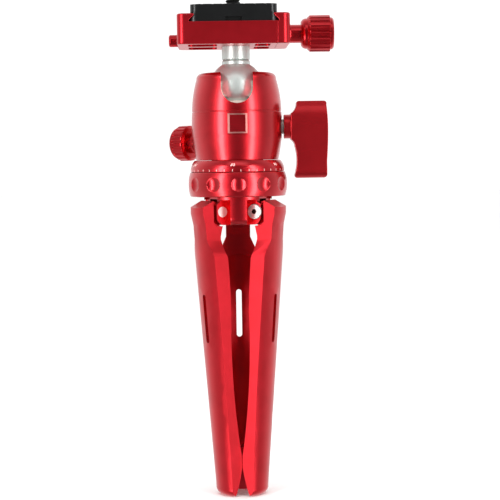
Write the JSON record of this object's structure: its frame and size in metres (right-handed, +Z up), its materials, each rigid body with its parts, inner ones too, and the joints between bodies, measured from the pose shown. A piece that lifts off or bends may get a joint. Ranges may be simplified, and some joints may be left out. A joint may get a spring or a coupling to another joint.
{
  "type": "tabletop tripod with ball head",
  "caption": "Small folding aluminium tabletop tripod with a notched ball head, a dovetail quick-release clamp and its plate; legs folded together",
  "frame": {"origin": "on the ground, on the tripod's own axis, midway between the three folded leg tips", "axes": "+Z up along the tripod's axis; +X towards the lock knob and the clamp knob; -Y the side with the stem notch"},
  "size_m": [0.0714, 0.0445, 0.213],
  "materials": {
    "red_aluminium": "anodised, satin",
    "black_aluminium": "anodised, matte",
    "silver_aluminium": "satin turned",
    "steel": "satin",
    "brass": "turned",
    "rubber": "matte",
    "nylon": "matte"
  },
  "bodies": {
    "hub": {"hub": "red_aluminium", "hinge_barrels": "steel", "hinge_screws": "steel", "hinge_washers": "nylon", "degree_ring": "red_aluminium", "pan_retainer": "steel", "pan_axle": "steel"},
    "leg_rear": {"leg_rear": "red_aluminium"},
    "leg_left": {"leg_left": "red_aluminium"},
    "leg_right": {"leg_right": "red_aluminium"},
    "stop_ring": {"stop_ring": "red_aluminium"},
    "head": {"housing": "red_aluminium", "badge_plate": "red_aluminium", "ball_seat": "nylon", "ball_liner": "nylon", "pan_pad": "brass"},
    "lock_knob": {"lock_knob": "red_aluminium", "lock_stud": "steel", "lock_cap": "red_aluminium", "lock_plunger": "brass"},
    "pan_knob": {"pan_knob": "red_aluminium", "pan_stud": "steel"},
    "ball": {"ball": "silver_aluminium"},
    "platform": {"stem_collar": "silver_aluminium", "stem_bolt": "steel", "clamp_base": "red_aluminium", "stop_pin": "steel", "button_spring": "steel", "jaw_spring": "steel"},
    "jaw": {"jaw": "red_aluminium", "guide_pins": "steel"},
    "clamp_knob": {"clamp_knob": "red_aluminium", "clamp_screw": "steel", "knob_cap": "red_aluminium"},
    "release_button": {"release_button": "red_aluminium"},
    "plate": {"plate": "black_aluminium", "plate_pad": "rubber", "screw_clip": "steel"},
    "camera_screw": {"camera_screw": "steel"}
  },
  "joints": [
    {"name": "leg_rear_fold", "type": "hinge", "parent": "hub", "child": "leg_rear", "pos_m": [0, 0.0108, 0.1226], "axis": [1, 0, 0], "range_deg": [0, 26]},
    {"name": "leg_left_fold", "type": "hinge", "parent": "hub", "child": "leg_left", "pos_m": [-0.00935, -0.0054, 0.1226], "axis": [-0.5, 0.866, 0], "range_deg": [0, 26]},
    {"name": "leg_right_fold", "type": "hinge", "parent": "hub", "child": "leg_right", "pos_m": [0.00935, -0.0054, 0.1226], "axis": [-0.5, -0.866, 0], "range_deg": [0, 26]},
    {"name": "stop_ring_turn", "type": "hinge", "parent": "hub", "child": "stop_ring", "pos_m": [0, 0, 0.134], "axis": [0, 0, 1], "continuous": true},
    {"name": "head_pan", "type": "hinge", "parent": "hub", "child": "head", "pos_m": [0, 0, 0.1445], "axis": [0, 0, 1], "continuous": true},
    {"name": "lock_knob_turn", "type": "hinge", "parent": "head", "child": "lock_knob", "pos_m": [0.03, 0, 0.1585], "axis": [1, 0, 0], "range_deg": [0, 90]},
    {"name": "pan_knob_turn", "type": "hinge", "parent": "head", "child": "pan_knob", "pos_m": [-0.01917, 0.01342, 0.1521], "axis": [-0.8192, 0.5736, 0], "range_deg": [0, 270]},
    {"name": "ball_tilt", "type": "hinge", "parent": "head", "child": "ball", "pos_m": [0, 0, 0.175], "axis": [1, 0, 0], "range_deg": [-26, 80]},
    {"name": "platform_swivel", "type": "hinge", "parent": "ball", "child": "platform", "pos_m": [0, 0, 0.187], "axis": [0, 0, 1], "continuous": true},
    {"name": "jaw_slide", "type": "slide", "parent": "platform", "child": "jaw", "axis": [1, 0, 0], "range_m": [0, 0.004], "deforming": ["jaw_spring"]},
    {"name": "clamp_knob_turn", "type": "hinge", "parent": "jaw", "child": "clamp_knob", "pos_m": [0.03, 0, 0.198], "axis": [1, 0, 0], "range_deg": [0, 1440]},
    {"name": "button_push", "type": "slide", "parent": "platform", "child": "release_button", "axis": [1, 0, 0], "range_m": [0, 0.0015], "stiffness_N_per_m": 400, "springref_m": -0.0005, "deforming": ["button_spring"]},
    {"name": "plate_slide", "type": "slide", "parent": "platform", "child": "plate", "axis": [0, 1, 0], "range_m": [-0.003, 0.003]},
    {"name": "camera_screw_turn", "type": "hinge", "parent": "plate", "child": "camera_screw", "pos_m": [-0.0009, 0, 0.2034], "axis": [0, 0, 1], "continuous": true}
  ],
  "couplings": [
    {"joint": "clamp_knob_turn", "follows": "jaw_slide", "rad_per_m": 6283.2}
  ]
}
